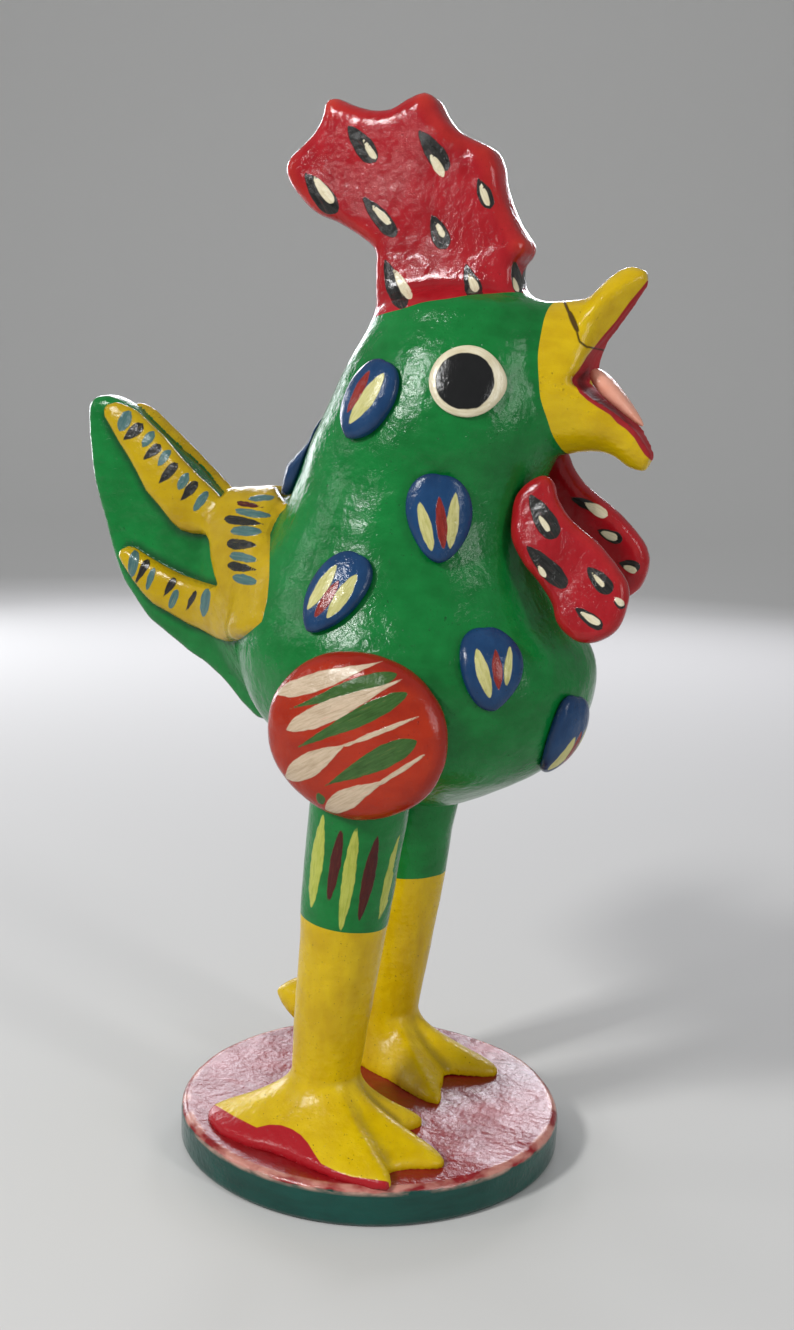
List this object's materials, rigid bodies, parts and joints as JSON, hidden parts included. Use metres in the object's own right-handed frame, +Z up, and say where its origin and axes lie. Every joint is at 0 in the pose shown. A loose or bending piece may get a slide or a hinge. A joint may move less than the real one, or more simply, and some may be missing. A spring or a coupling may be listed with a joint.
{
  "type": "rooster figurine",
  "caption": "Hollow fired-clay rooster on a round plinth, with a seeded comb, open beak, hip pads for wings and a strapped slab tail; painted ornament.",
  "frame": {"origin": "centre of the underside of the plinth, on the surface that the figurine stands on", "axes": "+Z up, +X forward (the way the beak points), +Y to the bird's left"},
  "size_m": [0.1246, 0.081, 0.2153],
  "materials": {
    "plinth": "brushed gloss enamel, red top and teal edge",
    "foot": "gloss enamel over hand-pressed clay",
    "leg": "gloss enamel, green thigh and yellow shank",
    "body": "gloss enamel over hand-smoothed clay",
    "tail": "gloss enamel",
    "comb": "gloss enamel with painted black and cream seeds",
    "beak": "gloss enamel",
    "tongue": "gloss enamel",
    "eye": "gloss enamel, cream ring and black pupil",
    "wing": "gloss enamel with cream and green strokes",
    "tail_trim": "gloss enamel with black and grey-blue dabs",
    "feather": "gloss enamel with red and yellow strokes"
  },
  "bodies": {
    "root": {"base_disc": "plinth", "right_foot": "foot", "left_foot": "foot", "right_leg": "leg", "left_leg": "leg", "body_bowl": "body", "neck_and_head": "body", "tail": "tail", "comb": "comb", "right_wattle": "comb", "left_wattle": "comb", "upper_beak": "beak", "lower_beak": "beak", "tongue": "tongue", "right_eye": "eye", "left_eye": "eye", "right_wing": "wing", "left_wing": "wing", "tail_collar": "tail_trim", "right_tail_upper_strip": "tail_trim", "right_tail_lower_strip": "tail_trim", "feather_right_neck": "feather", "feather_right_throat": "feather", "feather_right_shoulder": "feather", "feather_right_breast": "feather", "left_tail_upper_strip": "tail_trim", "left_tail_lower_strip": "tail_trim", "feather_left_neck": "feather", "feather_left_throat": "feather", "feather_left_shoulder": "feather", "feather_left_breast": "feather", "feather_front": "feather", "feather_back": "feather"}
  },
  "joints": []
}
